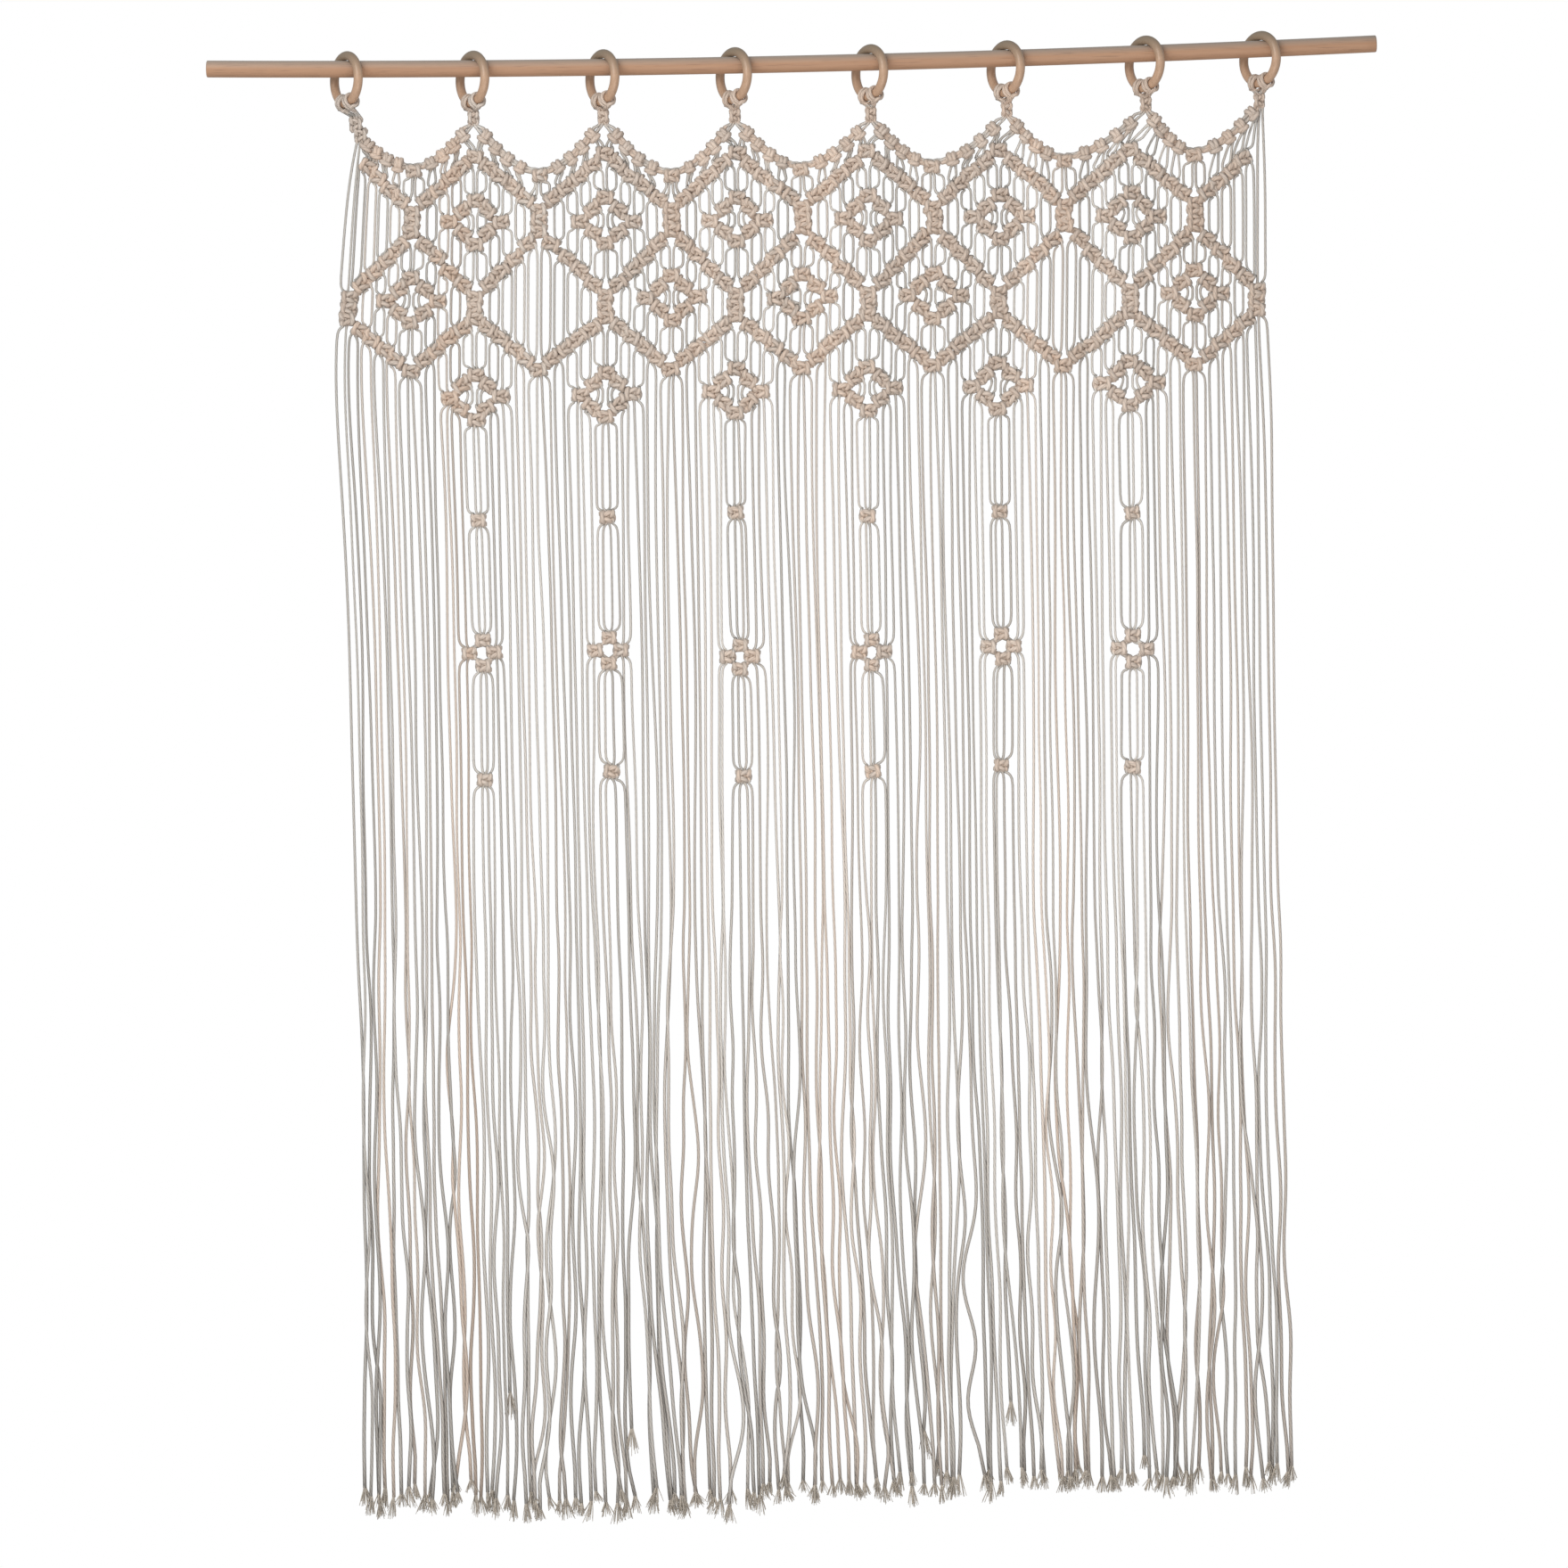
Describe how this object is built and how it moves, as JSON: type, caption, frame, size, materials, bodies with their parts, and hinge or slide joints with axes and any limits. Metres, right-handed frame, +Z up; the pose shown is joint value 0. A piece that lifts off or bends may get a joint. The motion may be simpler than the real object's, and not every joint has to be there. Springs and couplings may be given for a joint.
{
  "type": "macrame curtain and hanging rod",
  "caption": "Knotted cotton string curtain with scalloped top, hexagonal net and diamond ornaments, on wooden rings over a round wooden rod.",
  "frame": {"origin": "on the rod's axis, halfway along the rod", "axes": "+X along the rod to the right as seen from the front, +Y away from the viewer, +Z up"},
  "size_m": [1.5306, 0.0622, 1.9316],
  "materials": {
    "rod_wood": "sanded and unvarnished, satin",
    "ring_wood": "turned and lightly waxed, satin",
    "cotton_cord": "undyed three-ply cotton cord, matt, frayed ends"
  },
  "bodies": {
    "root": {"rod": "rod_wood", "ring_1": "ring_wood", "ring_2": "ring_wood", "ring_3": "ring_wood", "ring_4": "ring_wood", "ring_5": "ring_wood", "ring_6": "ring_wood", "ring_7": "ring_wood", "ring_8": "ring_wood", "ring_knot_1": "cotton_cord", "ring_knot_2": "cotton_cord", "ring_knot_3": "cotton_cord", "ring_knot_4": "cotton_cord", "ring_knot_5": "cotton_cord", "ring_knot_6": "cotton_cord", "ring_knot_7": "cotton_cord", "ring_knot_8": "cotton_cord", "scallop_1": "cotton_cord", "scallop_2": "cotton_cord", "scallop_3": "cotton_cord", "scallop_4": "cotton_cord", "scallop_5": "cotton_cord", "scallop_6": "cotton_cord", "scallop_7": "cotton_cord", "net_course_1": "cotton_cord", "net_course_2": "cotton_cord", "diamond_1_1": "cotton_cord", "diamond_1_2": "cotton_cord", "diamond_1_3": "cotton_cord", "diamond_1_4": "cotton_cord", "diamond_1_5": "cotton_cord", "diamond_1_6": "cotton_cord", "diamond_2_1": "cotton_cord", "diamond_2_3": "cotton_cord", "diamond_2_4": "cotton_cord", "diamond_2_5": "cotton_cord", "diamond_2_7": "cotton_cord", "string_comb": "cotton_cord"}
  },
  "joints": []
}
